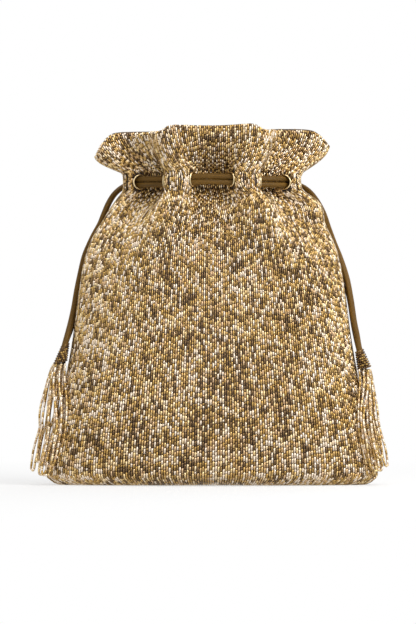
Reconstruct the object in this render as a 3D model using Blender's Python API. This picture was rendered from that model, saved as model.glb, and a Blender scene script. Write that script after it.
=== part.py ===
"""A beaded potli bag: a drawstring pouch of two beaded cloth panels with a satin lining.

It stands on its filled, flattened bottom. Metres, +Z up, the front looks along -Y, and the origin is on
the floor at the middle of the base. The cloth is one loft: closed plan curves, from the bottom seam up to
the rim of the ruffle, each an oval whose six soft pleats grow towards the neck, where the cords hold them.
"""

import math

import bmesh
import bpy
import numpy as np
from mathutils import Matrix, Vector

# Bag, measured over the beads
RIM_HEIGHT = 0.2298
NECK_HEIGHT = 0.197
FLOOR_LENGTH = 0.192
FLOOR_DEPTH = 0.036
BASE_WIDTH = 0.216
BASE_DEPTH = 0.064
BASE_ROUND = 0.010
BELLY_WIDTH = 0.183
BELLY_DEPTH = 0.075
BELLY_HEIGHT = 0.090
CHEST_WIDTH = 0.163
CHEST_DEPTH = 0.068
CHEST_HEIGHT = 0.148
NECK_WIDTH = 0.097
NECK_DEPTH = 0.046
NECK_BAND = 0.011
NECK_LIFT = 0.0016
FLOOR_CURL = 0.004
CORNER_INSET = 0.0025
CORNER_TUCK = 0.005
HIP_BLEND = 0.38
HIP_TUCK = 0.001
SHOULDER_RISE = 0.62
SHOULDER_NARROWING = 0.784
SHOULDER_SWELL = 1.095
SHOULDER_FULLNESS = 0.0065
SHOULDER_LEVEL = 7.4
SHOULDER_SPREAD = 0.5
CLOTH = 0.0016

# Pleats at the neck, and the ruffle above it
PLEAT_COUNT = 6
PLEAT_HEIGHT = 0.0096
PLEAT_FULLNESS = 0.0019
PLEAT_LEAN = 0.0013
PLEAT_CROWDING = math.radians(7)
RUFFLE_WIDTH = 0.136
RUFFLE_DEPTH = 0.050
RUFFLE_PLEAT = 0.0088
RUFFLE_CROWDING = math.radians(10)
RIM_TILT = 0.001
PANEL_RISE = 0.0042
PANEL_DIP = 0.0012
PANEL_PROUD = 1.85
PANEL_EDGE = math.radians(31)
BACK_RISE = 0.0025
EAR_DROP = 0.0125
EAR_TILT = 0.0025
EAR_SPREAD = math.radians(9.5)
PANEL_SPREAD = math.radians(17)

# Lining, sewn in under the eyelets
LINING = 0.0006
LINING_EASE = 0.0007

# Eyelets, cords and tassels
EYELET_BORE = 0.0080
EYELET_BARREL = 0.0003
EYELET_FLANGE = 0.0101
EYELET_SHEET = 0.00045
EYELET_SEAT = 0.0004
EYELET_SEGMENTS = 12
HOLE_CLEARANCE = 0.0003
HOLE_CUT = 0.008
PRESS_FLAT = 0.0078
PRESS_END = 0.0115
PRESS_LEVELS = 1.2
CORD_DIAMETER = 0.0035
CORD_STEP = 0.0077
WRAP_HEIGHT = 0.012
WRAP_TOP = 0.0054
WRAP_BOTTOM = 0.0092
WRAP_TOP_DEPTH = 0.0080
WRAP_BOTTOM_DEPTH = 0.0102
WRAP_SPREAD = 0.0034
WRAP_LEAN = 0.0020
WRAP_SEAT = 0.0009
WRAP_SWELLS = ((0, 0.88), (0.12, 1.0), (0.5, 1.02), (0.88, 1.0), (1, 0.92))
WRAP_SEGMENTS = 16
STRAND_DIAMETER = 0.0013
STRAND_SEGMENTS = 5
STRAND_MIDDLE = 2.5
STRAND_PITCH = 0.0015
LEFT_LAYER = 0.0040
RIGHT_LAYER = 0.0024
STRAND_SPREAD = 0.0026
STRAND_SETTLE = 0.040
STRAND_BOTTOM = 0.0065
STRAND_STEP = 0.0028
STRAND_TURN = 0.0015
FLANK_START = math.radians(2)
FLANK_STEP = math.radians(4)
FLANK_GAP = 0.0005

# Clearance that pieces keep where they touch
GAP = 0.0003
MM = 0.001

COLUMNS = 36
SMOOTHING = 12
ROWS = (0, 1, 2, 3, 3.7, 4.5, 5.3, 6, 6.6, 7, 7.5, 8, 9, 9.3, 9.6, 9.8, 10)
LINING_ROWS = (0, 1, 2, 3, 4.5, 6, 6.6, 7, 7.5)
NECK_LEVEL = 8
CORD_LEVEL = 8.5
BAND_TOP_LEVEL = 9
NEARBY = 0.03

# The cords' way, in millimetres: once round the neck, in and out of the eyelets, and down at one side
RING = (
    (47.3, 5.1), (49.7, 0), (47.3, -5.1), (39.5, -12.6), (29.8, -18), (21.7, -20.8), (13.3, -21.9),
    (0, -22.6), (-13.3, -21.9), (-21.7, -20.8), (-29.8, -18), (-39.5, -12.6), (-47.3, -5.1), (-49.7, 0),
    (-47.3, 5.1), (-39.5, 12.6), (-29.8, 18), (-21.7, 20.8), (-13.3, 21.9), (0, 22.6), (13.3, 21.9),
    (21.7, 20.8), (29.8, 18))
LOWER_CORD, UPPER_CORD = 195.1, 198.9
RING_LIFT = (0, 0, 0, 0, 0.05, 0.8, 1.25, 1.6, 1.25, 0.8, 0.05, *(0,) * 12)
RIGHT_ROUTE = (
    (95.8, -1.6, 88.6), (93.6, 0.2, 98), (91.9, 1.6, 107), (89.8, 3.9, 121), (86.5, 7.4, 134),
    (81.2, 11.1, 147), (76.2, 12.2, 158), (72.2, 11.2, 168), (69.0, 12.2, 175.5), (64.2, 14.4, 181.5),
    (57.2, 16.2, 185.3), (50.6, 17.0, 187.9), (46.8, 16.1, 190.6), (44.6, 12.7, 193.6), (45.6, 7.9, 195.1),
    *((x, y, LOWER_CORD + lift) for (x, y), lift in zip(RING, RING_LIFT)),
    (35.5, 17.3, 195.3), (41.5, 17.6, 196.2), (47.5, 17.4, 196.6), (53.6, 16.2, 196.3), (59.6, 13.6, 194.2),
    (64.8, 10.2, 190.0), (69.2, 7.8, 183.8), (72.9, 7.6, 176.4), (75.8, 8.9, 168), (79.5, 9.0, 158),
    (83.9, 7.3, 147), (87.9, 2.8, 134), (90.4, -0.3, 121), (92.4, -2.6, 107), (94.2, -4.0, 98),
    (95.8, -5.5, 88.6))
LEFT_ROUTE = (
    (-95.4, -1.4, 92.4), (-92.4, 2.9, 100.8), (-90.0, 7.1, 108.6), (-87.8, 9.8, 117), (-86.2, 10.3, 125),
    (-84.4, 10.7, 133), (-80.9, 10.9, 147.6), (-77.8, 11.1, 155), (-73.5, 10.7, 163), (-69.6, 10.6, 170.5),
    (-66.4, 11.4, 177), (-62.4, 13.0, 182), (-57.5, 15.4, 187.6),
    (-51.8, 16.8, 192.8), (-47.7, 16.5, 195.6), (-44.9, 12.8, 198.0), (-45.6, 7.9, 198.9),
    *((-x, y, UPPER_CORD + lift) for (x, y), lift in zip(RING, RING_LIFT)),
    (-35.5, 18.2, 199.4), (-41.5, 19.8, 199.4), (-47.5, 21.2, 198.9), (-53.6, 19.6, 196.8),
    (-59.4, 15.0, 193.6), (-63.8, 9.8, 189.4), (-67.4, 6.4, 183.4), (-70.4, 6.7, 176.4), (-73.0, 7.6, 170),
    (-76.9, 8.0, 163), (-80.7, 7.9, 155), (-83.5, 7.5, 147.6), (-86.9, 6.9, 133), (-88.5, 6.2, 125),
    (-89.8, 5.2, 117), (-91.4, 2.5, 108.6), (-93.2, -1.7, 100.8), (-95.4, -5.3, 92.4))


def catmull_rom(values, u):
    """A smooth curve through the values, read at the position u counted in values."""
    last = len(values) - 1
    k = min(int(u), last - 1)
    f = u - k
    before = values[max(k - 1, 0)]
    start = values[k]
    end = values[k + 1]
    after = values[min(k + 2, last)]
    return start + 0.5 * f * (
        end - before + f * (2 * before - 5 * start + 4 * end - after
                            + f * (3 * (start - end) + after - before)))


def body_levels():
    """Height, half width, half depth and share of full pleat, from the bottom seam up to the neck band."""
    band_foot = NECK_HEIGHT - NECK_BAND / 2
    shoulder = CHEST_HEIGHT + SHOULDER_RISE * (band_foot - CHEST_HEIGHT)
    shoulder_depth = SHOULDER_SWELL * (CHEST_DEPTH + NECK_DEPTH) / 2
    hip_width = BASE_WIDTH + HIP_BLEND * (BELLY_WIDTH - BASE_WIDTH)
    return (
        (0.0, FLOOR_LENGTH / 2, 0.0, 0.0),
        (0.0, FLOOR_LENGTH / 2 + FLOOR_CURL, FLOOR_DEPTH / 2, 0.0),
        (0.3 * BASE_ROUND, BASE_WIDTH / 2 - CORNER_INSET, BASE_DEPTH / 2 - CORNER_TUCK, 0.0),
        (BASE_ROUND, BASE_WIDTH / 2, BASE_DEPTH / 2, 0.0),
        (BELLY_HEIGHT / 2, hip_width / 2 - HIP_TUCK, BELLY_DEPTH / 2, 0.0),
        (BELLY_HEIGHT, BELLY_WIDTH / 2, BELLY_DEPTH / 2, 0.02),
        (CHEST_HEIGHT, CHEST_WIDTH / 2, CHEST_DEPTH / 2, 0.14),
        (shoulder, SHOULDER_NARROWING * CHEST_WIDTH / 2, shoulder_depth / 2, 0.60),
        (band_foot, NECK_WIDTH / 2, NECK_DEPTH / 2, 1.0),
    )


BODY_LEVELS = body_levels()


def rim_height(angle):
    """The top edge: a proud panel in the middle of front and back, and drooping ears at the sides."""
    quarter = min(abs(math.sin(angle)), 1.0)
    right = math.cos(angle)
    panel = math.exp(-((math.acos(quarter) / PANEL_EDGE) ** 14))
    dip = math.exp(-((math.acos(quarter) / PANEL_SPREAD) ** 2))
    ear = math.exp(-((math.asin(quarter) / EAR_SPREAD) ** 2))
    back = BACK_RISE * max(math.sin(angle), 0.0)
    return (RIM_HEIGHT + RIM_TILT * right + PANEL_RISE * panel - PANEL_DIP * dip
            - (EAR_DROP - EAR_TILT * right) * ear + back)


def loft_point(angle, level):
    """The loft without the eyelets: angle runs round the bag from +X over +Y, level up it from the seam."""
    opening = 0.0
    if level <= NECK_LEVEL:
        z, half_width, half_depth, pleat = (
            catmull_rom(column, level) for column in zip(*BODY_LEVELS))
        z = max(z, 0.0)
    else:
        half_width, half_depth, pleat = NECK_WIDTH / 2, NECK_DEPTH / 2, 1.0
        band = min(level - NECK_LEVEL, 1.0)
        z = NECK_HEIGHT + (band - 0.5) * NECK_BAND
        if level > BAND_TOP_LEVEL:
            up = level - BAND_TOP_LEVEL
            opening = math.sin(up * math.pi / 2)
            z += (rim_height(angle) - z) * up
            half_width += (RUFFLE_WIDTH / 2 - half_width) * opening
            half_depth += (RUFFLE_DEPTH / 2 - half_depth) * opening
    crowding = PLEAT_CROWDING + (RUFFLE_CROWDING - PLEAT_CROWDING) * opening
    turn = math.sin(2 * angle)
    at = angle + pleat * crowding * turn * abs(turn) ** 3
    outward = Vector((math.cos(at) / half_width, math.sin(at) / max(half_depth, 1e-6), 0)).normalized()
    along = Vector((-outward.y, outward.x, 0))
    ridge = math.cos(PLEAT_COUNT * angle)
    to_middle = math.acos(min(abs(math.sin(angle)), 1.0))
    panel = PANEL_PROUD * opening * math.exp(-((to_middle / PANEL_SPREAD) ** 2))
    height = PLEAT_HEIGHT + (RUFFLE_PLEAT - PLEAT_HEIGHT) * opening
    fullness = PLEAT_FULLNESS * math.sin(2 * PLEAT_COUNT * angle)
    lean = -PLEAT_LEAN * turn * (1 + ridge) / 2
    near_shoulder = math.exp(-(((level - SHOULDER_LEVEL) / SHOULDER_SPREAD) ** 2))
    fuller = SHOULDER_FULLNESS * near_shoulder * max(math.cos(angle), 0.0) ** 2
    lift = NECK_LIFT * max(-math.sin(angle), 0.0) ** 6 * pleat * pleat * (1 - opening)
    middle = Vector((half_width * math.cos(at) + fuller, half_depth * math.sin(at), z + lift))
    return (middle + outward * (height * pleat * (ridge + panel))
            + along * (pleat * (fullness + lean)))


def eyelet_frames():
    """Where the cloth crosses the line of the cords, on both flanks of each pleat, front and back."""
    frames = []
    for side in (-1, 1):
        for flank in range(PLEAT_COUNT):
            angle = side * math.pi * (flank + 0.5) / PLEAT_COUNT
            middle = loft_point(angle, CORD_LEVEL)
            ahead = loft_point(angle + NEARBY, CORD_LEVEL)
            along = ahead - loft_point(angle - NEARBY, CORD_LEVEL)
            turn = along.cross(Vector((0, 0, 1))).to_track_quat("Z", "Y").to_matrix().to_4x4()
            frames.append(Matrix.Translation(middle) @ turn)
    return frames


FRAMES = eyelet_frames()
UNFRAMES = [frame.inverted() for frame in FRAMES]


def cloth_point(angle, level):
    """The outer face of the cloth, which each eyelet presses flat round its hole."""
    point = loft_point(angle, level)
    if abs(level - CORD_LEVEL) > PRESS_LEVELS:
        return point
    for frame, unframe in zip(FRAMES, UNFRAMES):
        local = unframe @ point
        away = math.hypot(local.x, local.y)
        if away < PRESS_END and abs(local.z) < PRESS_END / 3:
            free = min(max((away - PRESS_FLAT) / (PRESS_END - PRESS_FLAT), 0.0), 1.0)
            local.z *= free * free * (3 - 2 * free)
            return frame @ local
    return point


def cloth_normal(angle, level, step=1e-3):
    """The direction that the outer face of the cloth looks in."""
    round_it = cloth_point(angle + step, level) - cloth_point(angle - step, level)
    up_it = cloth_point(angle, min(level + step, 10)) - cloth_point(angle, max(level - step, 0))
    return round_it.cross(up_it).normalized()


def material(name, colour, roughness, metallic=0.0):
    made = bpy.data.materials.new(name)
    made.use_nodes = True
    shader = made.node_tree.nodes["Principled BSDF"]
    shader.inputs["Base Color"].default_value = (*colour, 1.0)
    shader.inputs["Roughness"].default_value = roughness
    shader.inputs["Metallic"].default_value = metallic
    return made


def add_mesh(name, points, faces, finish, smooth=True):
    mesh = bpy.data.meshes.new(name)
    mesh.from_pydata([tuple(p) for p in points], [], faces)
    bm = bmesh.new()
    bm.from_mesh(mesh)
    bmesh.ops.recalc_face_normals(bm, faces=bm.faces)
    bm.to_mesh(mesh)
    bm.free()
    if smooth:
        mesh.shade_smooth()
        mesh.set_sharp_from_angle(angle=math.radians(50))
    mesh.materials.append(finish)
    piece = bpy.data.objects.new(name, mesh)
    bpy.context.scene.collection.objects.link(piece)
    return piece


def bag_angles(first, last, count):
    return [first + (last - first) * k / count for k in range(count + 1)]


def inside(angle, level, depth):
    """The point that lies this deep under the outer face of the cloth."""
    if level < 1:
        facing = Vector((0, 0, -1))
    else:
        facing = cloth_normal(angle, level)
    return cloth_point(angle, level) - facing * depth


def panel(name, first, finish):
    """Half of the bag, from side seam to side seam, as one sheet of cloth with its own thickness."""
    side = 1 if first == 0 else -1
    angles = bag_angles(first, first + math.pi, COLUMNS)
    across = len(angles)
    points = []
    for depth in (0.0, CLOTH):
        for level in ROWS:
            for angle in angles:
                point = inside(angle, level, depth)
                if abs(point.y) < GAP / 2:
                    point.y = side * GAP / 2
                points.append(point)
    inner = across * len(ROWS)
    faces = []
    for row in range(len(ROWS) - 1):
        for column in range(COLUMNS):
            a = row * across + column
            b = a + across
            faces.append((a, a + 1, b + 1, b))
            faces.append((a + inner, b + inner, b + inner + 1, a + inner + 1))
    top = (len(ROWS) - 1) * across
    for column in range(COLUMNS):
        faces.append((column, column + inner, column + inner + 1, column + 1))
        a = top + column
        faces.append((a, a + 1, a + inner + 1, a + inner))
    for row in range(len(ROWS) - 1):
        a = row * across
        b = a + COLUMNS
        faces.append((a, a + across, a + across + inner, a + inner))
        faces.append((b, b + inner, b + across + inner, b + across))
    return add_mesh(name, points, faces, finish)


def lining(finish):
    """The satin bag inside, shut at the bottom and open under the eyelets."""
    angles = bag_angles(0, 2 * math.pi, 2 * COLUMNS)[:-1]
    across = len(angles)
    points = []
    for depth in (CLOTH + LINING_EASE, CLOTH + LINING_EASE + LINING):
        for level in LINING_ROWS:
            for angle in angles:
                points.append(inside(angle, level, depth))
    inner = across * len(LINING_ROWS)
    faces = []
    for row in range(len(LINING_ROWS) - 1):
        for column in range(across):
            a = row * across + column
            a_next = row * across + (column + 1) % across
            faces.append((a, a_next, a_next + across, a + across))
            faces.append((a + inner, a + across + inner, a_next + across + inner, a_next + inner))
    top = (len(LINING_ROWS) - 1) * across
    for column in range(across):
        a = top + column
        a_next = top + (column + 1) % across
        faces.append((a, a_next, a_next + inner, a + inner))
    piece = add_mesh("lining", points, faces, finish)
    bm = bmesh.new()
    bm.from_mesh(piece.data)
    bmesh.ops.remove_doubles(bm, verts=bm.verts, dist=1e-5)
    bmesh.ops.recalc_face_normals(bm, faces=bm.faces)
    bm.to_mesh(piece.data)
    bm.free()
    return piece


def turned(profile, segments):
    """A closed ring: the profile of radius and height, turned about Z."""
    points = []
    faces = []
    count = len(profile)
    for k in range(segments):
        turn = 2 * math.pi * k / segments
        for radius, height in profile:
            points.append((radius * math.cos(turn), radius * math.sin(turn), height))
        base = k * count
        following = (k + 1) % segments * count
        for m in range(count):
            n = (m + 1) % count
            faces.append((base + m, following + m, following + n, base + n))
    return points, faces


def eyelets(finish):
    """Each a flanged barrel, rolled over at the back so that it grips the cloth from both sides."""
    bore = EYELET_BORE / 2
    barrel = bore + EYELET_BARREL
    flange = EYELET_FLANGE / 2
    front = EYELET_SEAT
    back = -CLOTH - EYELET_SEAT
    profile = [
        (bore, front + EYELET_SHEET), (flange, front + EYELET_SHEET), (flange, front), (barrel, front),
        (barrel, back), (flange, back), (flange, back - EYELET_SHEET), (bore, back - EYELET_SHEET)]
    points, faces = turned(profile, EYELET_SEGMENTS)
    for number, frame in enumerate(FRAMES, 1):
        piece = add_mesh(f"eyelet_{number:02d}", points, faces, finish)
        piece.matrix_world = frame


def cut_holes(panels):
    """One round hole through the cloth for each eyelet's barrel."""
    bm = bmesh.new()
    radius = EYELET_BORE / 2 + EYELET_BARREL + HOLE_CLEARANCE
    for frame in FRAMES:
        bmesh.ops.create_cone(
            bm, cap_ends=True, segments=EYELET_SEGMENTS, radius1=radius, radius2=radius,
            depth=HOLE_CUT, matrix=frame @ Matrix.Translation((0, 0, -CLOTH / 2)))
    mesh = bpy.data.meshes.new("eyelet_holes")
    bm.to_mesh(mesh)
    bm.free()
    cutter = bpy.data.objects.new("eyelet_holes", mesh)
    bpy.context.scene.collection.objects.link(cutter)
    cutter.hide_render = True
    cutter.display_type = "WIRE"
    for piece in panels:
        hole = piece.modifiers.new("eyelet_holes", "BOOLEAN")
        hole.operation = "DIFFERENCE"
        hole.solver = "EXACT"
        hole.object = cutter


def even_points(route, spacing):
    """Points this far apart on the smooth curve through the route's own points."""
    columns = list(zip(*route))
    fine = [
        Vector([catmull_rom(column, k / SMOOTHING) for column in columns])
        for k in range(SMOOTHING * (len(route) - 1) + 1)]
    lengths = [0.0]
    for a, b in zip(fine, fine[1:]):
        lengths.append(lengths[-1] + (b - a).length)
    count = round(lengths[-1] / spacing)
    points = []
    k = 0
    for step in range(count + 1):
        want = lengths[-1] * step / count
        while k < len(fine) - 2 and lengths[k + 1] < want:
            k += 1
        share = (want - lengths[k]) / (lengths[k + 1] - lengths[k])
        points.append(fine[k].lerp(fine[k + 1], share))
    return points


def drawcord(name, route, finish):
    points = even_points([[MM * value for value in point] for point in route], CORD_STEP)
    curve = bpy.data.curves.new(name, "CURVE")
    curve.dimensions = "3D"
    curve.bevel_depth = CORD_DIAMETER / 2
    curve.bevel_resolution = 2
    curve.use_fill_caps = True
    spline = curve.splines.new("POLY")
    spline.points.add(len(points) - 1)
    for place, point in zip(spline.points, points):
        place.co = (*point, 1)
    curve.materials.append(finish)
    piece = bpy.data.objects.new(name, curve)
    bpy.context.scene.collection.objects.link(piece)


def ring_points(middle, half_x, half_y, segments):
    turns = [2 * math.pi * k / segments for k in range(segments)]
    return [middle + Vector((half_x * math.cos(a), half_y * math.sin(a), 0)) for a in turns]


def stacked_rings(name, rings, finish):
    """A closed solid through rings of equal counts, with flat ends."""
    count = len(rings[0])
    points = [point for ring in rings for point in ring]
    faces = [tuple(range(count)), tuple(range(len(points) - count, len(points)))]
    for row in range(len(rings) - 1):
        for k in range(count):
            a = row * count
            n = (k + 1) % count
            faces.append((a + k, a + n, a + count + n, a + count + k))
    return add_mesh(name, points, faces, finish)


def tassel_wrap(name, route, side, finish):
    """The beaded wrap that holds both ends of a cord and the tops of the bead strands."""
    ends = (Vector(route[0]) + Vector(route[-1])) * MM / 2
    top = ends - Vector((0, 0, WRAP_SEAT))
    foot = top + Vector((side * WRAP_SPREAD, -WRAP_LEAN, -WRAP_HEIGHT))
    rings = []
    for share, swell in WRAP_SWELLS:
        half_x = (WRAP_TOP + (WRAP_BOTTOM - WRAP_TOP) * share) / 2 * swell
        half_y = (WRAP_TOP_DEPTH + (WRAP_BOTTOM_DEPTH - WRAP_TOP_DEPTH) * share) / 2 * swell
        rings.append(ring_points(top.lerp(foot, share), half_x, half_y, WRAP_SEGMENTS))
    stacked_rings(name, rings, finish)
    return foot


def level_at(height):
    """The level of the body's cloth at this height, above the rounding of the base."""
    low, high = 3.0, 6.0
    for _ in range(30):
        middle = (low + high) / 2
        if cloth_point(0, middle).z < height:
            low = middle
        else:
            high = middle
    return low


def strand_point(foot, side, place, layer, height):
    """A point of a strand: it hangs from the wrap and drapes over the bag's flank."""
    def on_flank(z):
        angle = -FLANK_START - FLANK_STEP * place
        if side < 0:
            angle = -math.pi - angle
        level = level_at(max(z, BASE_ROUND))
        apart = LEFT_LAYER if side < 0 else RIGHT_LAYER
        point = cloth_point(angle, level) + cloth_normal(angle, level) * (
            STRAND_DIAMETER / 2 + FLANK_GAP + apart * layer)
        point.z = z
        return point
    top = foot - Vector((0, 0, GAP))
    start = top + Vector((
        side * (layer - 1) * STRAND_SPREAD, (STRAND_MIDDLE - place) * STRAND_PITCH, 0))
    fall = min((top.z - height) / STRAND_SETTLE, 1.0)
    freed = 1 - fall * fall * (3 - 2 * fall)
    return on_flank(height) + (start - on_flank(top.z)) * freed


def tube(name, points, radius, sides, finish):
    """A round tube along the points, with flat ends."""
    rings = []
    across = None
    for k, point in enumerate(points):
        ahead = (points[min(k + 1, len(points) - 1)] - points[max(k - 1, 0)]).normalized()
        if across is None:
            across = ahead.cross(Vector((0.3, 1, 0.1))).normalized()
        across = (across - ahead * across.dot(ahead)).normalized()
        beside = ahead.cross(across)
        rings.append([
            point + (across * math.cos(a) + beside * math.sin(a)) * radius
            for a in (2 * math.pi * m / sides for m in range(sides))])
    return stacked_rings(name, rings, finish)


def tassel_strands(prefix, foot, side, finish):
    """Nine loops of threaded beads in three layers, each layer a little further out from the bag."""
    number = 0
    for layer in range(3):
        for pair in range(3):
            number += 1
            bottom = STRAND_BOTTOM + STRAND_STEP * ((2 * pair + 3 * layer + (side > 0)) % 5)
            first = 2 * pair
            top = foot.z - GAP
            turn = STRAND_TURN
            heights = [top + (bottom + turn - top) * k / 4 for k in range(5)]
            points = [strand_point(foot, side, first, layer, z) for z in heights]
            for k in (1, 2, 3):
                swing = math.pi * k / 4
                points.append(strand_point(
                    foot, side, first + (1 - math.cos(swing)) / 2, layer,
                    bottom + turn * (1 - math.sin(swing))))
            points += [strand_point(foot, side, first + 1, layer, z) for z in reversed(heights)]
            tube(f"{prefix}_strand_{number}", points, STRAND_DIAMETER / 2, STRAND_SEGMENTS, finish)


def main():
    for old in list(bpy.data.objects):
        bpy.data.objects.remove(old, do_unlink=True)
    beaded_cloth = material("beaded_cloth", (0.42, 0.30, 0.16), 0.35, 0.7)
    satin = material("lining_satin", (0.07, 0.035, 0.02), 0.45)
    brass = material("eyelet_brass", (0.78, 0.62, 0.36), 0.25, 1.0)
    cord_satin = material("cord_satin", (0.22, 0.14, 0.04), 0.4)
    wrap_beads = material("wrap_beads", (0.16, 0.10, 0.05), 0.3, 0.8)
    strand_beads = material("strand_beads", (0.55, 0.45, 0.30), 0.25, 0.8)
    panels = [panel("front_panel", -math.pi, beaded_cloth), panel("back_panel", 0, beaded_cloth)]
    cut_holes(panels)
    lining(satin)
    eyelets(brass)
    for name, route, side in (("left", LEFT_ROUTE, -1), ("right", RIGHT_ROUTE, 1)):
        drawcord(f"{name}_drawcord", route, cord_satin)
        foot = tassel_wrap(f"{name}_tassel_wrap", route, side, wrap_beads)
        tassel_strands(name, foot, side, strand_beads)


main()
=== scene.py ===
"""The looks of a beaded potli bag, laid out as a Blender add-on and run as a script.

Metres, +Z up, the front looks along -Y, and the origin is on the floor at the middle of the base.
"""

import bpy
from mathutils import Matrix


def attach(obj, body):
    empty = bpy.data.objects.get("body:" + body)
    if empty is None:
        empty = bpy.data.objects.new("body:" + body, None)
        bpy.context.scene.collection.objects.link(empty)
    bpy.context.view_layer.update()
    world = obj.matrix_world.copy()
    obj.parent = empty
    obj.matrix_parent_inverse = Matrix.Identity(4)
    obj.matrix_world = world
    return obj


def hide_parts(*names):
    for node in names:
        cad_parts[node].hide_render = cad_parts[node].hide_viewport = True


bl_info = {
    "name": "Beaded potli bag",
    "version": (1, 0, 0),
    "blender": (4, 5, 0),
    "location": "3D View > Sidebar > Potli bag",
    "description": "Dresses the bag: beaded cloth, lining, eyelets, drawcords and tassels",
    "category": "Object",
}

import math

import bmesh
import bpy
import numpy as np
from bpy.props import FloatProperty, FloatVectorProperty, IntProperty, PointerProperty
from mathutils import Matrix, Vector

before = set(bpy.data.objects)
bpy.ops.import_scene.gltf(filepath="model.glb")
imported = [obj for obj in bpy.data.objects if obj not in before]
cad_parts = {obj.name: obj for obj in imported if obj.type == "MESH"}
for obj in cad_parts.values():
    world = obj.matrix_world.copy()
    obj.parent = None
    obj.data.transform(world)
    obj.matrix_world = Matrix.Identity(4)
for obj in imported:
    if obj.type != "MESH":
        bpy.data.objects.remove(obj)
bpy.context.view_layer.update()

# The design of the solids, in metres, where the cloth's outer face is the one over the beads
RIM_HEIGHT = 0.2298
NECK_HEIGHT = 0.197
FLOOR_LENGTH = 0.192
FLOOR_DEPTH = 0.036
BASE_WIDTH = 0.216
BASE_DEPTH = 0.064
BASE_ROUND = 0.010
BELLY_WIDTH = 0.183
BELLY_DEPTH = 0.075
BELLY_HEIGHT = 0.090
CHEST_WIDTH = 0.163
CHEST_DEPTH = 0.068
CHEST_HEIGHT = 0.148
NECK_WIDTH = 0.097
NECK_DEPTH = 0.046
NECK_BAND = 0.011
NECK_LIFT = 0.0016
FLOOR_CURL = 0.004
CORNER_INSET = 0.0025
CORNER_TUCK = 0.005
HIP_BLEND = 0.38
HIP_TUCK = 0.001
SHOULDER_RISE = 0.62
SHOULDER_NARROWING = 0.784
SHOULDER_SWELL = 1.095
SHOULDER_FULLNESS = 0.0065
SHOULDER_LEVEL = 7.4
SHOULDER_SPREAD = 0.5
CLOTH = 0.0016
PLEAT_COUNT = 6
PLEAT_HEIGHT = 0.0096
PLEAT_FULLNESS = 0.0019
PLEAT_LEAN = 0.0013
PLEAT_CROWDING = math.radians(7)
RUFFLE_WIDTH = 0.136
RUFFLE_DEPTH = 0.050
RUFFLE_PLEAT = 0.0088
RUFFLE_CROWDING = math.radians(10)
RIM_TILT = 0.001
PANEL_RISE = 0.0042
PANEL_DIP = 0.0012
PANEL_PROUD = 1.85
PANEL_EDGE = math.radians(31)
PANEL_CORNER = 14
BACK_RISE = 0.0025
EAR_DROP = 0.0125
EAR_TILT = 0.0025
EAR_SPREAD = math.radians(9.5)
PANEL_SPREAD = math.radians(17)
LINING = 0.0006
LINING_EASE = 0.0007
LINING_LEVEL = 7.5
EYELET_BORE = 0.0080
EYELET_FLANGE = 0.0101
EYELET_SHEET = 0.00045
EYELET_SEAT = 0.0004
PRESS_FLAT = 0.0078
PRESS_END = 0.0115
PRESS_LEVELS = 1.2
WRAP_HEIGHT = 0.012
WRAP_TOP = 0.0054
WRAP_BOTTOM = 0.0092
WRAP_TOP_DEPTH = 0.0080
WRAP_BOTTOM_DEPTH = 0.0102
WRAP_SPREAD = 0.0034
WRAP_LEAN = 0.0020
WRAP_SEAT = 0.0009
STRAND_DIAMETER = 0.0013
STRAND_MIDDLE = 2.5
STRAND_PITCH = 0.0015
LEFT_LAYER = 0.0040
RIGHT_LAYER = 0.0024
STRAND_SPREAD = 0.0026
STRAND_FAN = 0.00045
STRAND_SWAY = 0.0008
SWAY_ACROSS = 0.0045
SWAY_DEEP = 0.0053
SWAY_BY_PLACE = 2.1
SWAY_BY_LAYER = 1.3
STRAND_LAYERS = 3
STRAND_PAIRS = 3
LEFT_FLARE = 0.0022
RIGHT_FLARE = 0.0002
STRAND_LOOP = 0.0010
STRAND_SETTLE = 0.040
STRAND_BOTTOM = 0.0065
STRAND_STEP = 0.0028
STRAND_TURN = 0.0015
FLANK_START = math.radians(2)
FLANK_STEP = math.radians(4)
FLANK_GAP = 0.0005
GAP = 0.0003
MM = 0.001
NECK_LEVEL = 8
CORD_LEVEL = 8.5
BAND_TOP_LEVEL = 9
RIM_LEVEL = 10
NEARBY = 0.03

# What only the looks need: ground cloth and beading, eyelets, wraps, cords and strands
GROUND_DEPTH = 0.0012
BINDING_FOOT = 0.2285
BINDING_BLEND = 0.0006
HOLE_EASE = 0.0006
HOLE_ROD = 0.008
BEAD_SHARE = 0.885
BEAD_KINDS = (1.0, 0.72, 0.44)
KIND_SHARES = (0.68, 0.18, 0.14)
LENGTH_RANGE = (0.94, 1.06)
RIM_JITTER = 0.0004
SEAM_MARGIN = 0.0002
EYELET_MARGIN = 0.0005
EYELET_REACH = 0.004
BEAD_TOPS = (0.075, 0.150)
BEAD_PATCHES = ((95.0, 2.0, 0.62), (26.0, 1.0, 0.38))
BARREL_WALL = 0.0003
ROLL_SINK = 0.0004
ROLL_RISE = 0.00065
FLANGE_EDGE = 0.0001
WRAP_ROWS = 8
WRAP_PITCH = 0.00145
WRAP_SLANT = 0.0010
WRAP_BEAD = 0.00125
WRAP_BEAD_WIDTH = 0.0014
WRAP_BEAD_THICKNESS = 0.0013
WRAP_BEAD_INSET = 0.0005
WRAP_SHADE = (0.05, 0.027, 0.012)
WRAP_BROWN = (0.15, 0.084, 0.035)
CORD_END = 0.1
CORD_APART = 0.0014
CORD_STEP = 0.0012
CORD_SIDES = 20
CORD_TAPER_TOP = 0.1905
CORD_TAPER = 0.012
CORD_CREASES = ((0.035, 3, 60), (0.02, 7, -140))
STRAND_BEAD = 0.00155
STRAND_BEADS = (0.0032, 0.0032, 0.0030, 0.0013, 0.0013)
STRAND_GAP = 0.00012
WELD = 1e-5

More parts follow.
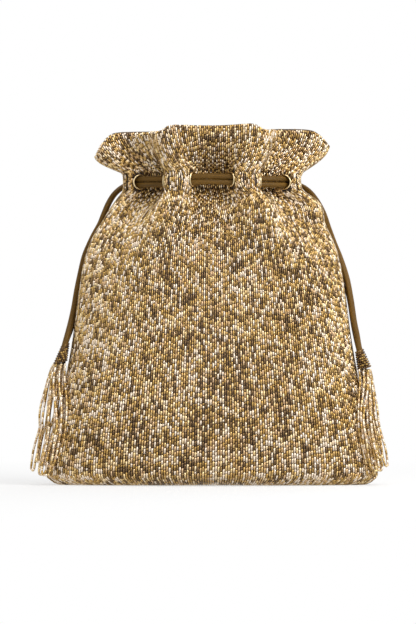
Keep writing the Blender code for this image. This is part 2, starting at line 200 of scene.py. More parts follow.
# The columns of a table of beads, with one row for each bead
MIDDLE, WAY_UP, WAY_OUT, LONG, WIDE = slice(0, 3), slice(3, 6), slice(6, 9), 9, 10

# The studio: the lamps' names, places, sizes and powers, and the camera's frame, in which a pixel of
# the picture is PIXEL wide at FRONT_PLANE before the middle of the bag
STUDIO_LIGHT = 0.31
LAMPS = (
    ("key", (0.88, -0.72, 0.85), 0.7, 10.4), ("fill", (0.0, -1.10, 0.16), 1.3, 3.0),
    ("top", (0.08, -0.16, 1.15), 0.5, 5.4), ("rim", (0.3, 0.95, 0.7), 0.8, 3.0))
AIM_HEIGHT = 0.11
FLOOR_RADIUS = 1.5
FLOOR_GREY = 0.86
SHADOW_START = 0.10
SHADOW_FADE = 0.45
SHADOW_SHARE = 0.45
PIXEL = 0.00065
PICTURE = (416, 624)
VIEW_MIDDLE = (-0.0026, 0.1125)
CAMERA_AWAY = 3.2
FRONT_PLANE = 0.008
SENSOR = 36.0

# The cords' way, in millimetres, as part of the solids' design
RING = (
    (47.3, 5.1), (49.7, 0), (47.3, -5.1), (39.5, -12.6), (29.8, -18), (21.7, -20.8), (13.3, -21.9),
    (0, -22.6), (-13.3, -21.9), (-21.7, -20.8), (-29.8, -18), (-39.5, -12.6), (-47.3, -5.1), (-49.7, 0),
    (-47.3, 5.1), (-39.5, 12.6), (-29.8, 18), (-21.7, 20.8), (-13.3, 21.9), (0, 22.6), (13.3, 21.9),
    (21.7, 20.8), (29.8, 18))
LOWER_CORD, UPPER_CORD = 195.1, 198.9
RING_LIFT = (0, 0, 0, 0, 0.05, 0.8, 1.25, 1.6, 1.25, 0.8, 0.05, *(0,) * 12)
RIGHT_ROUTE = (
    (95.8, -1.6, 88.6), (93.6, 0.2, 98), (91.9, 1.6, 107), (89.8, 3.9, 121), (86.5, 7.4, 134),
    (81.2, 11.1, 147), (76.2, 12.2, 158), (72.2, 11.2, 168), (69.0, 12.2, 175.5), (64.2, 14.4, 181.5),
    (57.2, 16.2, 185.3), (50.6, 17.0, 187.9), (46.8, 16.1, 190.6), (44.6, 12.7, 193.6), (45.6, 7.9, 195.1),
    *((x, y, LOWER_CORD + lift) for (x, y), lift in zip(RING, RING_LIFT)),
    (35.5, 17.3, 195.3), (41.5, 17.6, 196.2), (47.5, 17.4, 196.6), (53.6, 16.2, 196.3), (59.6, 13.6, 194.2),
    (64.8, 10.2, 190.0), (69.2, 7.8, 183.8), (72.9, 7.6, 176.4), (75.8, 8.9, 168), (79.5, 9.0, 158),
    (83.9, 7.3, 147), (87.9, 2.8, 134), (90.4, -0.3, 121), (92.4, -2.6, 107), (94.2, -4.0, 98),
    (95.8, -5.5, 88.6))
LEFT_ROUTE = (
    (-95.4, -1.4, 92.4), (-92.4, 2.9, 100.8), (-90.0, 7.1, 108.6), (-87.8, 9.8, 117), (-86.2, 10.3, 125),
    (-84.4, 10.7, 133), (-80.9, 10.9, 147.6), (-77.8, 11.1, 155), (-73.5, 10.7, 163), (-69.6, 10.6, 170.5),
    (-66.4, 11.4, 177), (-62.4, 13.0, 182), (-57.5, 15.4, 187.6),
    (-51.8, 16.8, 192.8), (-47.7, 16.5, 195.6), (-44.9, 12.8, 198.0), (-45.6, 7.9, 198.9),
    *((-x, y, UPPER_CORD + lift) for (x, y), lift in zip(RING, RING_LIFT)),
    (-35.5, 18.2, 199.4), (-41.5, 19.8, 199.4), (-47.5, 21.2, 198.9), (-53.6, 19.6, 196.8),
    (-59.4, 15.0, 193.6), (-63.8, 9.8, 189.4), (-67.4, 6.4, 183.4), (-70.4, 6.7, 176.4), (-73.0, 7.6, 170),
    (-76.9, 8.0, 163), (-80.7, 7.9, 155), (-83.5, 7.5, 147.6), (-86.9, 6.9, 133), (-88.5, 6.2, 125),
    (-89.8, 5.2, 117), (-91.4, 2.5, 108.6), (-93.2, -1.7, 100.8), (-95.4, -5.3, 92.4))
SIDES = (("left", LEFT_ROUTE, -1), ("right", RIGHT_ROUTE, 1))


class PotliBeadSettings(bpy.types.PropertyGroup):
    columns: IntProperty(
        name="Columns", description="Columns of beads on each panel", default=142, min=20)
    bugle_length: FloatProperty(
        name="Bugle length", description="Length of a tube bead", default=0.0033,
        subtype="DISTANCE", unit="LENGTH")
    thickness: FloatProperty(
        name="Bead thickness", description="How thick a bead is", default=0.00145,
        subtype="DISTANCE", unit="LENGTH")
    spacing: FloatProperty(
        name="Thread gap", description="Bare thread between two beads", default=0.00038,
        subtype="DISTANCE", unit="LENGTH")
    seed: IntProperty(name="Seed", description="Which mix of beads is threaded", default=7)


class PotliColourSettings(bpy.types.PropertyGroup):
    gold: FloatVectorProperty(
        name="Gold", description="The most common bead", subtype="COLOR", default=(0.52, 0.33, 0.10))
    pale_gold: FloatVectorProperty(
        name="Pale gold", description="The light yellow bead", subtype="COLOR", default=(0.82, 0.63, 0.33))
    silver: FloatVectorProperty(
        name="Silver", description="The silver-lined bead", subtype="COLOR", default=(0.81, 0.69, 0.55))
    taupe: FloatVectorProperty(
        name="Taupe", description="The dark bead and the rim", subtype="COLOR",
        default=(0.165, 0.102, 0.048))
    ground: FloatVectorProperty(
        name="Ground cloth", description="The cloth under the beads", subtype="COLOR",
        default=(0.040, 0.019, 0.008))
    beige: FloatVectorProperty(
        name="Beige", description="The pinkish lined bead", subtype="COLOR", default=(0.62, 0.44, 0.27))
    cord: FloatVectorProperty(
        name="Cord", description="The satin of the drawcords", subtype="COLOR",
        default=(0.140, 0.070, 0.0085))
    brass: FloatVectorProperty(
        name="Eyelets", description="The metal of the eyelets", subtype="COLOR", default=(0.83, 0.66, 0.38))


class PotliCordSettings(bpy.types.PropertyGroup):
    diameter: FloatProperty(
        name="Cord diameter", description="Width of the satin tube", default=0.0039,
        subtype="DISTANCE", unit="LENGTH")
    neck_diameter: FloatProperty(
        name="Diameter at the neck", description="Width where two cords share the eyelets",
        default=0.0037, subtype="DISTANCE", unit="LENGTH")


def smooth_curve(values, at):
    """A smooth curve through the values, read at positions counted in values."""
    values = np.asarray(values, float)
    last = len(values) - 1
    k = np.minimum(at.astype(int), last - 1)
    f = at - k
    before = values[np.maximum(k - 1, 0)]
    start = values[k]
    end = values[k + 1]
    after = values[np.minimum(k + 2, last)]
    return start + 0.5 * f * (
        end - before + f * (2 * before - 5 * start + 4 * end - after
                            + f * (3 * (start - end) + after - before)))


def lengths_along(points):
    """How far along the path each of its points lies."""
    return np.concatenate([[0.0], np.cumsum(np.linalg.norm(np.diff(points, axis=0), axis=1))])


def read_path(points, lengths, at):
    """The path's points at these lengths along it."""
    return np.stack([np.interp(at, lengths, points[:, k]) for k in range(3)], 1)


def level_rows(*stretches):
    """Levels up the cloth, where a stretch has its first level, its last and how many it has."""
    rows = [np.linspace(*stretch)[:-1] for stretch in stretches[:-1]]
    return np.concatenate([*rows, np.linspace(*stretches[-1])])


def body_levels():
    """Height, half width, half depth and share of full pleat, from the bottom seam up to the neck band."""
    band_foot = NECK_HEIGHT - NECK_BAND / 2
    shoulder = CHEST_HEIGHT + SHOULDER_RISE * (band_foot - CHEST_HEIGHT)
    shoulder_depth = SHOULDER_SWELL * (CHEST_DEPTH + NECK_DEPTH) / 2
    hip_width = BASE_WIDTH + HIP_BLEND * (BELLY_WIDTH - BASE_WIDTH)
    return (
        (0.0, FLOOR_LENGTH / 2, 0.0, 0.0),
        (0.0, FLOOR_LENGTH / 2 + FLOOR_CURL, FLOOR_DEPTH / 2, 0.0),
        (0.3 * BASE_ROUND, BASE_WIDTH / 2 - CORNER_INSET, BASE_DEPTH / 2 - CORNER_TUCK, 0.0),
        (BASE_ROUND, BASE_WIDTH / 2, BASE_DEPTH / 2, 0.0),
        (BELLY_HEIGHT / 2, hip_width / 2 - HIP_TUCK, BELLY_DEPTH / 2, 0.0),
        (BELLY_HEIGHT, BELLY_WIDTH / 2, BELLY_DEPTH / 2, 0.02),
        (CHEST_HEIGHT, CHEST_WIDTH / 2, CHEST_DEPTH / 2, 0.14),
        (shoulder, SHOULDER_NARROWING * CHEST_WIDTH / 2, shoulder_depth / 2, 0.60),
        (band_foot, NECK_WIDTH / 2, NECK_DEPTH / 2, 1.0),
    )


def unit(vectors):
    return vectors / np.maximum(np.linalg.norm(vectors, axis=-1, keepdims=True), 1e-12)


def rim_height(angle):
    """The top edge: a proud panel in the middle of front and back, and drooping ears at the sides."""
    quarter = np.minimum(np.abs(np.sin(angle)), 1.0)
    right = np.cos(angle)
    panel = np.exp(-((np.arccos(quarter) / PANEL_EDGE) ** PANEL_CORNER))
    dip = np.exp(-((np.arccos(quarter) / PANEL_SPREAD) ** 2))
    ear = np.exp(-((np.arcsin(quarter) / EAR_SPREAD) ** 2))
    back = BACK_RISE * np.maximum(np.sin(angle), 0.0)
    return (RIM_HEIGHT + RIM_TILT * right + PANEL_RISE * panel - PANEL_DIP * dip
            - (EAR_DROP - EAR_TILT * right) * ear + back)


def loft(angle, level):
    """The cloth without the eyelets: angle runs round the bag from +X over +Y, level up from the seam."""
    angle, level = np.broadcast_arrays(np.asarray(angle, float), np.asarray(level, float))
    z, half_width, half_depth, pleat = (
        smooth_curve(column, np.clip(level, 0, NECK_LEVEL)) for column in zip(*body_levels()))
    band = np.clip(level - NECK_LEVEL, 0, 1)
    up = np.clip(level - BAND_TOP_LEVEL, 0, 1)
    opening = np.sin(up * math.pi / 2)
    z = np.where(level > NECK_LEVEL, NECK_HEIGHT + (band - 0.5) * NECK_BAND, np.maximum(z, 0.0))
    z = z + (rim_height(angle) - z) * up
    half_width = half_width + (RUFFLE_WIDTH / 2 - half_width) * opening
    half_depth = half_depth + (RUFFLE_DEPTH / 2 - half_depth) * opening
    crowding = PLEAT_CROWDING + (RUFFLE_CROWDING - PLEAT_CROWDING) * opening
    turn = np.sin(2 * angle)
    at = angle + pleat * crowding * turn * np.abs(turn) ** 3
    flat = np.zeros_like(at)
    outward = unit(np.stack(
        [np.cos(at) / half_width, np.sin(at) / np.maximum(half_depth, 1e-6), flat], -1))
    along = np.stack([-outward[..., 1], outward[..., 0], flat], -1)
    ridge = np.cos(PLEAT_COUNT * angle)
    to_middle = np.arccos(np.minimum(np.abs(np.sin(angle)), 1.0))
    panel = PANEL_PROUD * opening * np.exp(-((to_middle / PANEL_SPREAD) ** 2))
    height = PLEAT_HEIGHT + (RUFFLE_PLEAT - PLEAT_HEIGHT) * opening
    fullness = PLEAT_FULLNESS * np.sin(2 * PLEAT_COUNT * angle)
    lean = -PLEAT_LEAN * turn * (1 + ridge) / 2
    near_shoulder = np.exp(-(((level - SHOULDER_LEVEL) / SHOULDER_SPREAD) ** 2))
    fuller = SHOULDER_FULLNESS * near_shoulder * np.maximum(np.cos(angle), 0.0) ** 2
    lift = NECK_LIFT * np.maximum(-np.sin(angle), 0.0) ** 6 * pleat * pleat * (1 - opening)
    middle = np.stack([half_width * np.cos(at) + fuller, half_depth * np.sin(at), z + lift], -1)
    return (middle + outward * (height * pleat * (ridge + panel))[..., None]
            + along * (pleat * (fullness + lean))[..., None])


def eyelet_frames():
    """Where the cloth crosses the line of the cords, on both flanks of each pleat, front and back."""
    frames = []
    for side in (-1, 1):
        for flank in range(PLEAT_COUNT):
            angle = side * math.pi * (flank + 0.5) / PLEAT_COUNT
            middle, before, after = (
                Vector(loft(a, CORD_LEVEL)) for a in (angle, angle - NEARBY, angle + NEARBY))
            axis = (after - before).cross(Vector((0, 0, 1)))
            turn = axis.to_track_quat("Z", "Y").to_matrix().to_4x4()
            frames.append(Matrix.Translation(middle) @ turn)
    return frames


EYELETS = eyelet_frames()


def in_eyelet(points, place):
    """The points in an eyelet's own frame, with its axis as Z."""
    turn = np.array(place.to_3x3())
    return (points - np.array(place.translation)) @ turn


def cloth(angle, level):
    """The cloth's outer face, which each eyelet presses flat round its hole."""
    points = loft(angle, level)
    level = np.broadcast_to(np.asarray(level, float), points.shape[:-1])
    left = np.abs(level - CORD_LEVEL) <= PRESS_LEVELS
    for place in EYELETS:
        local = in_eyelet(points, place)
        away = np.hypot(local[..., 0], local[..., 1])
        near = left & (away < PRESS_END) & (np.abs(local[..., 2]) < PRESS_END / 3)
        if not near.any():
            continue
        free = np.clip((away - PRESS_FLAT) / (PRESS_END - PRESS_FLAT), 0, 1)
        local[..., 2] *= free * free * (3 - 2 * free)
        pressed = local @ np.array(place.to_3x3()).T + np.array(place.translation)
        points = np.where(near[..., None], pressed, points)
        left = left & ~near
    return points


def cloth_facing(angle, level, step=1e-3):
    """The direction that the cloth's outer face looks in."""
    level = np.asarray(level, float)
    round_it = cloth(angle + step, level) - cloth(angle - step, level)
    up_it = cloth(angle, np.minimum(level + step, RIM_LEVEL)) - cloth(angle, np.maximum(level - step, 0))
    facing = unit(np.cross(round_it, up_it))
    floor = np.broadcast_to(level < 1, facing.shape[:-1])
    return np.where(floor[..., None], np.array((0, 0, -1.0)), facing)


def inside(angle, level, depth):
    """Points that lie this deep under the outer face of the cloth."""
    return cloth(angle, level) - cloth_facing(angle, level) * depth


class Wire:
    """A node's output, so that maths on it reads as Python and adds its Math nodes."""

    def __init__(self, tree, socket):
        self.tree = tree
        self.socket = socket

    def maths(self, operation, *values):
        return self.tree.node("ShaderNodeMath", {"operation": operation}, dict(enumerate(values)))

    def __add__(self, other):
        return self.maths("ADD", self, other)

    __radd__ = __add__

    def __sub__(self, other):
        return self.maths("SUBTRACT", self, other)

    def __rsub__(self, other):
        return self.maths("SUBTRACT", other, self)

    def __mul__(self, other):
        return self.maths("MULTIPLY", self, other)

    __rmul__ = __mul__

    def __truediv__(self, other):
        return self.maths("DIVIDE", self, other)

    def clamped(self):
        return self.tree.node("ShaderNodeClamp", {}, {"Value": self})


class Tree:
    """A node tree that is written as calls."""

    def __init__(self, nodes_of):
        self.nodes = nodes_of.nodes
        self.links = nodes_of.links

    def node(self, kind, settings=None, sockets=None, output=0):
        """Adds a node: its settings first, then the values or links of its sockets."""
        made = self.nodes.new(kind)
        for key, value in (settings or {}).items():
            if key == "stops":
                self.set_stops(made.color_ramp, value)
            else:
                setattr(made, key, value)
        for key, value in (sockets or {}).items():
            self.feed(made.inputs[key], value)
        if output is None:
            return made
        return Wire(self, made.outputs[output])

    def feed(self, socket, value):
        if isinstance(value, Wire):
            self.links.new(value.socket, socket)
        else:
            socket.default_value = value

    @staticmethod
    def set_stops(ramp, stops):
        while len(ramp.elements) < len(stops):
            ramp.elements.new(0.5)
        for element, (position, colour) in zip(ramp.elements, stops):
            element.position = position
            element.color = (*colour, 1.0)


class Finish(Tree):
    """A material: its tree, its main shader, and its name."""

    def __init__(self, name, **values):
        self.material = bpy.data.materials.new(name)
        self.material.use_nodes = True
        super().__init__(self.material.node_tree)
        self.shader = self.nodes["Principled BSDF"]
        for key, value in values.items():
            self.put(key.replace("_", " ").title().replace("Ior", "IOR"), value)

    def put(self, socket, value):
        if not isinstance(value, Wire) and hasattr(value, "__len__") and len(value) == 3:
            value = (*value, 1.0)
        self.feed(self.shader.inputs[socket], value)

    def attribute(self, name, output="Fac"):
        return self.node("ShaderNodeAttribute", {"attribute_name": name}, output=output)

    def object_place(self, scale=(1, 1, 1)):
        place = self.node("ShaderNodeTexCoord", output="Object")
        return self.node("ShaderNodeMapping", {}, {"Vector": place, "Scale": scale})

    def above(self, height):
        """A factor that is 1 over this height and 0 under it."""
        parts = self.node("ShaderNodeSeparateXYZ", {}, {"Vector": self.object_place()}, None)
        return ((Wire(self, parts.outputs["Z"]) - height) / BINDING_BLEND).clamped()

    def noise(self, place, scale, detail=2.0, roughness=0.5):
        return self.node(
            "ShaderNodeTexNoise", {"noise_dimensions": "3D"},
            {"Vector": place, "Scale": scale, "Detail": detail, "Roughness": roughness}, "Fac")

    def ramp(self, factor, *stops):
        return self.node("ShaderNodeValToRGB", {"stops": stops}, {"Fac": factor}, "Color")

    def mix(self, factor, one, other):
        made = self.node("ShaderNodeMix", {"data_type": "RGBA"}, {"Factor": factor}, None)
        for socket, value in ((made.inputs[6], one), (made.inputs[7], other)):
            if not isinstance(value, Wire):
                value = (*value, 1.0)
            self.feed(socket, value)
        return Wire(self, made.outputs[2])

    def bump(self, height, distance, strength=1.0):
        self.put("Normal", self.node(
            "ShaderNodeBump", {}, {"Height": height, "Distance": distance, "Strength": strength}))


def colours():
    return bpy.context.scene.potli_colours


def shade(colour, share):
    """The colour made this much lighter or darker."""
    return tuple(min(1.0, share * part) for part in colour)


def bead_finish(name, patchy):
    """Silver-lined and metal-coated glass: a bead has one tone, and on the cloth tones gather in patches."""
    tones = colours()
    made = Finish(name, metallic=0.85, specular_ior_level=0.6)
    tone = made.attribute("bead_tone")
    if patchy:
        place = made.object_place()
        for scale, detail, strength in BEAD_PATCHES:
            tone = tone + (made.noise(place, scale, detail) - 0.5) * strength
    else:
        tone = tone * 0.8 + 0.2
    tone = tone.clamped()
    brown_gold = tuple(0.5 * (a + b) for a, b in zip(tones.gold, tones.taupe))
    made.put("Base Color", made.ramp(
        tone, (0.0, tones.taupe), (0.12, tones.taupe), (0.24, brown_gold), (0.36, tones.gold),
        (0.48, tones.beige), (0.60, tones.gold), (0.72, tones.pale_gold), (0.86, tones.silver)))
    made.put("Roughness", 0.27 + 0.16 * made.attribute("bead_tone"))
    return made.material


def satin_finish(name, colour, sheen, binding=None):
    """A tightly woven satin: a soft sheen, slight changes of tone, and a binding along the rim if asked."""
    made = Finish(name, sheen_weight=sheen, specular_ior_level=0.5)
    place = made.object_place()
    mottle = made.noise(place, 60.0, 3.0)
    plain = made.ramp(mottle, (0.3, shade(colour, 0.7)), (0.7, shade(colour, 1.35)))
    if binding:
        plain = made.mix(made.above(BINDING_FOOT), plain, binding)
    made.put("Base Color", plain)
    made.put("Roughness", 0.34 + 0.18 * mottle)
    thread = made.noise(made.object_place((1.0, 1.0, 0.18)), 1500.0, 1.0)
    made.bump(thread, 0.00008, 0.6)
    return made.material


def brass_finish():
    made = Finish("eyelet_brass", metallic=1.0)
    wear = made.noise(made.object_place(), 260.0, 3.0)
    brass = colours().brass
    made.put("Base Color", made.ramp(wear, (0.35, shade(brass, 0.72)), (0.62, brass)))
    made.put("Roughness", 0.16 + 0.2 * wear)
    return made.material


def cord_finish():
    """Satin cut on the bias: fine creases along the tube, bumped, with painted shade in their hollows and a
    painted highlight on their tops.
    """
    colour = colours().cord
    made = Finish("cord_satin", sheen_weight=0.02, specular_ior_level=0.22)
    along = made.attribute("along", "Vector")
    parts = made.node("ShaderNodeSeparateXYZ", {}, {"Vector": along}, None)
    length = Wire(made, parts.outputs["X"])
    turn = Wire(made, parts.outputs["Y"])
    place = made.node("ShaderNodeCombineXYZ", {}, {"X": length * 30.0, "Y": turn * 2.2, "Z": 0.0})
    crease = made.noise(place, 1.0, 3.0, 0.6)
    # Painted shade and painted highlight: the ramp darkens the crease hollows and lightens the crease tops.
    made.put("Base Color", made.ramp(
        crease, (0.30, shade(colour, 0.55)), (0.52, colour), (0.72, shade(colour, 1.55))))
    made.put("Roughness", 0.42 + 0.2 * crease)
    made.bump(crease, 0.00045, 1.0)
    return made.material


def in_scene(name, data):
    """A new object with this data, linked to the scene."""
    made = bpy.data.objects.new(name, data)
    bpy.context.scene.collection.objects.link(made)
    return made


def add_piece(name, mesh, finish, node_names, smooth_angle=None):
    """Puts a finished mesh in the scene: it rides on the one body and stands for its CAD nodes."""
    if smooth_angle is not None:
        mesh.shade_smooth()
        mesh.set_sharp_from_angle(angle=math.radians(smooth_angle))
    mesh.materials.clear()
    mesh.materials.append(finish)
    piece = in_scene(name, mesh)
    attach(piece, "root")
    if node_names:
        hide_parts(*node_names)
    return piece


def mesh_of(name, points, faces):
    mesh = bpy.data.meshes.new(name)
    mesh.from_pydata(np.asarray(points, float).reshape(-1, 3).tolist(), [], faces)
    return mesh


def facing_out(mesh, merge=0.0):
    bm = bmesh.new()
    bm.from_mesh(mesh)
    if merge:
        bmesh.ops.remove_doubles(bm, verts=bm.verts, dist=merge)
    bmesh.ops.recalc_face_normals(bm, faces=bm.faces)
    bm.to_mesh(mesh)
    bm.free()
    return mesh


def evaluated(holder, name):
    """The plain mesh that an object's modifiers make, with the object then removed."""
    graph = bpy.context.evaluated_depsgraph_get()
    mesh = bpy.data.meshes.new_from_object(holder.evaluated_get(graph))
    mesh.name = name
    bpy.data.objects.remove(holder, do_unlink=True)
    return mesh


def walls(rows, across, closed):
    """Faces of a sheet's outer and inner wall, joined along its open edges."""
    inner = across * rows
    columns = across if closed else across - 1
    top = inner - across
    faces = []
    for row in range(rows - 1):
        for column in range(columns):
            a = row * across + column
            b = row * across + (column + 1) % across
            faces.append((a, b, b + across, a + across))
            faces.append((a + inner, a + across + inner, b + across + inner, b + inner))
    for column in range(columns):
        following = (column + 1) % across
        if not closed:
            faces.append((column, column + inner, following + inner, following))
        faces.append((top + column, top + following, top + following + inner, top + column + inner))
    if not closed:
        for a in range(0, top, across):
            b = a + columns
            faces.append((a, a + across, a + across + inner, a + inner))
            faces.append((b, b + inner, b + across + inner, b + across))
    return faces


def panel_mesh(name, first, rods, columns=132):
    """Half of the bag's ground cloth, from side seam to side seam, with its own thickness."""
    side = 1 if first == 0 else -1
    angles = first + np.linspace(0, math.pi, columns + 1)
    rows = level_rows((0, 3, 13), (3, 6, 24), (6, 8, 18), (8, 9, 8), (9, 10, 14))
    grid_angle, grid_level = np.meshgrid(angles, rows)
    layers = []
    for depth in (GROUND_DEPTH, CLOTH):
        points = inside(grid_angle, grid_level, depth)
        seam = np.abs(points[..., 1]) < GAP / 2
        points[..., 1] = np.where(seam, side * GAP / 2, points[..., 1])
        layers.append(points.reshape(-1, 3))
    faces = walls(len(rows), columns + 1, False)
    holder = in_scene("guide", facing_out(mesh_of(name, np.concatenate(layers), faces)))
    cut = holder.modifiers.new("eyelet_holes", "BOOLEAN")
    cut.operation = "DIFFERENCE"
    cut.solver = "EXACT"
    cut.object = rods
    return evaluated(holder, name)


def hole_rods():
    """The rods that leave a round hole in the cloth at each eyelet."""
    bm = bmesh.new()
    radius = EYELET_BORE / 2 + HOLE_EASE
    for place in EYELETS:
        bmesh.ops.create_cone(
            bm, cap_ends=True, segments=24, radius1=radius, radius2=radius, depth=HOLE_ROD,
            matrix=place @ Matrix.Translation((0, 0, -CLOTH / 2)))
    mesh = bpy.data.meshes.new("hole_rods")
    bm.to_mesh(mesh)
    bm.free()
    return in_scene("hole_rods", mesh)


def lining_mesh(name, columns=144):
    """The satin bag inside, shut at the bottom and sewn in under the eyelets."""
    angles = np.linspace(0, 2 * math.pi, columns + 1)[:-1]
    rows = level_rows((0, 3, 10), (3, 6, 14), (6, LINING_LEVEL, 12))
    grid_angle, grid_level = np.meshgrid(angles, rows)
    outer_depth = CLOTH + LINING_EASE
    layers = [inside(grid_angle, grid_level, depth).reshape(-1, 3)
              for depth in (outer_depth, outer_depth + LINING)]
    faces = walls(len(rows), columns, True)
    return facing_out(mesh_of(name, np.concatenate(layers), faces), WELD)


class POTLI_OT_cloth(bpy.types.Operator):
    """Makes the two panels of ground cloth and the satin lining"""

    bl_idname = "potli.cloth"
    bl_label = "Ground cloth and lining"

    def execute(self, context):
        ground = satin_finish("ground_cloth", colours().ground, 0.3, colours().taupe)
        satin = satin_finish("lining_satin", shade(colours().ground, 1.2), 0.5)
        rods = hole_rods()
        for name, node, first in (
                ("front_cloth", "front_panel", -math.pi), ("back_cloth", "back_panel", 0.0)):
            piece = add_piece(name, panel_mesh(name, first, rods), ground, [node], 40)
        bpy.data.objects.remove(rods, do_unlink=True)
        piece = add_piece(
            "satin_lining", lining_mesh("satin_lining"), satin, ["lining"], 40)
        return {"FINISHED"}


def bead_paths(first, columns, levels):
    """The cloth's angle at each level along every bead column, so that columns stay evenly apart."""
    angles = first + np.linspace(0, math.pi, 721)
    grid_angle, grid_level = np.meshgrid(angles, levels)
    points = loft(grid_angle, grid_level)
    steps = np.linalg.norm(np.diff(points, axis=1), axis=2)
    lengths = np.concatenate([np.zeros((len(levels), 1)), np.cumsum(steps, axis=1)], axis=1)
    share = (np.arange(columns) + 0.5) / columns
    turned = np.stack([np.interp(share * row[-1], row, angles) for row in lengths])
    return turned, lengths[:, -1] / columns


def thread_beads(first, settings, most=200):
    """The table of one panel's beads, with room for this many in a column."""
    chance = np.random.default_rng(settings.seed + (1 if first == 0 else 0))
    levels = level_rows((0, 3, 31), (3, 8, 101), (8, 10, 41))
    turned, pitch = bead_paths(first, settings.columns, levels)
    rows = []
    for column in range(settings.columns):
        path = cloth(turned[:, column], levels)
        along = lengths_along(path)
        kinds = chance.choice(len(BEAD_KINDS), most, p=KIND_SHARES)
        lengths = settings.bugle_length * np.array(BEAD_KINDS)[kinds]
        lengths *= chance.uniform(*LENGTH_RANGE, most)
        rim = along[-1] + chance.uniform(-RIM_JITTER, RIM_JITTER)
        ends = rim - np.cumsum(lengths + settings.spacing)
        starts = ends + lengths
        offset = settings.bugle_length * 0.5 * (column % 2)
        ends = ends - offset
        starts = starts - offset
        if column % 2:
            starts = np.concatenate([[rim], starts])
            ends = np.concatenate([[rim - offset + settings.spacing], ends])
        kept = ends > SEAM_MARGIN
        starts = starts[kept]
        ends = ends[kept]
        middle = (starts + ends) / 2
        at_level = np.interp(middle, along, levels)
        at_angle = np.interp(at_level, levels, turned[:, column])
        low = read_path(path, along, ends)
        high = read_path(path, along, starts)
        out = cloth_facing(at_angle, at_level)
        width = np.interp(at_level, levels, pitch)
        rows.append(np.concatenate([
            (low + high) / 2, unit(high - low), out, (starts - ends)[:, None], width[:, None]], 1))
    beads = np.concatenate(rows)
    clear = np.ones(len(beads), bool)
    for place in EYELETS:
        for end in (-0.5, 0.0, 0.5):
            local = in_eyelet(beads[:, MIDDLE] + end * beads[:, WAY_UP] * beads[:, [LONG]], place)
            away = np.hypot(local[:, 0], local[:, 1])
            clear &= (away > EYELET_BORE / 2 + EYELET_MARGIN) | (np.abs(local[:, 2]) > EYELET_REACH)
    return beads[clear]


def bead_tree():
    """Geometry nodes that thread one bead on every point of a guide, tinted at random."""
    group = bpy.data.node_groups.new("threaded_beads", "GeometryNodeTree")
    face = group.interface
    face.new_socket("Guide", in_out="INPUT", socket_type="NodeSocketGeometry")
    for name, kind, value in (
            ("Thickness", "NodeSocketFloat", 0.0014), ("Sides", "NodeSocketInt", 6),
            ("Seed", "NodeSocketInt", 1), ("Finish", "NodeSocketMaterial", None)):
        socket = face.new_socket(name, in_out="INPUT", socket_type=kind)
        if value is not None:
            socket.default_value = value
    face.new_socket("Beads", in_out="OUTPUT", socket_type="NodeSocketGeometry")
    tree = Tree(group)
    given = tree.node("NodeGroupInput", output=None)
    put = {socket.name: Wire(tree, socket) for socket in given.outputs if socket.name}

    def named(name, kind="FLOAT"):
        made = tree.node("GeometryNodeInputNamedAttribute", {"data_type": kind}, {"Name": name}, None)
        return Wire(tree, next(s for s in made.outputs if s.name == "Attribute" and s.enabled))

    bead = tree.node(
        "GeometryNodeMeshCylinder", {},
        {"Vertices": put["Sides"], "Side Segments": 1, "Radius": 0.5, "Depth": 1.0}, "Mesh")
    bead = tree.node("GeometryNodeSetShadeSmooth", {}, {"Geometry": bead, "Shade Smooth": True})
    turn = tree.node(
        "FunctionNodeAxesToRotation", {"primary_axis": "Z", "secondary_axis": "X"},
        {0: named("way_up", "FLOAT_VECTOR"), 1: named("way_out", "FLOAT_VECTOR")})
    size = tree.node("ShaderNodeCombineXYZ", {}, {
        "X": put["Thickness"], "Y": named("bead_width"), "Z": named("bead_length")})
    threaded = tree.node("GeometryNodeInstanceOnPoints", {}, {
        "Points": put["Guide"], "Instance": bead, "Rotation": turn, "Scale": size})
    tone = tree.node(
        "FunctionNodeRandomValue", {"data_type": "FLOAT"}, {"Seed": put["Seed"]}, None)
    store = tree.node("GeometryNodeStoreNamedAttribute", {"data_type": "FLOAT", "domain": "INSTANCE"}, {
        "Geometry": threaded, "Name": "bead_tone",
        "Value": Wire(tree, next(s for s in tone.outputs if s.enabled))})
    whole = tree.node("GeometryNodeRealizeInstances", {}, {"Geometry": store})
    tinted = tree.node(
        "GeometryNodeSetMaterial", {}, {"Geometry": whole, "Material": put["Finish"]})
    tree.node("NodeGroupOutput", {}, {"Beads": tinted}, None)
    return group


def thread(name, beads, finish, thickness, sides, seed):
    """The mesh of one table of beads."""
    guide = bpy.data.meshes.new("bead_guide")
    guide.vertices.add(len(beads))
    guide.vertices.foreach_set("co", beads[:, MIDDLE].astype(np.float32).ravel())
    for key, kind, values in (
            ("way_up", "FLOAT_VECTOR", beads[:, WAY_UP]), ("way_out", "FLOAT_VECTOR", beads[:, WAY_OUT]),
            ("bead_length", "FLOAT", beads[:, LONG]), ("bead_width", "FLOAT", beads[:, WIDE])):
        stored = guide.attributes.new(key, kind, "POINT")
        stored.data.foreach_set(
            "vector" if kind == "FLOAT_VECTOR" else "value", values.astype(np.float32).ravel())
    guide.update()
    holder = in_scene("guide", guide)
    group = bpy.data.node_groups.get("threaded_beads") or bead_tree()
    nodes = holder.modifiers.new("threaded_beads", "NODES")
    nodes.node_group = group
    wanted = {"Thickness": thickness, "Sides": sides, "Seed": seed, "Finish": finish}
    for item in group.interface.items_tree:
        if item.name in wanted and item.in_out == "INPUT":
            nodes[item.identifier] = wanted[item.name]
    return evaluated(holder, name)


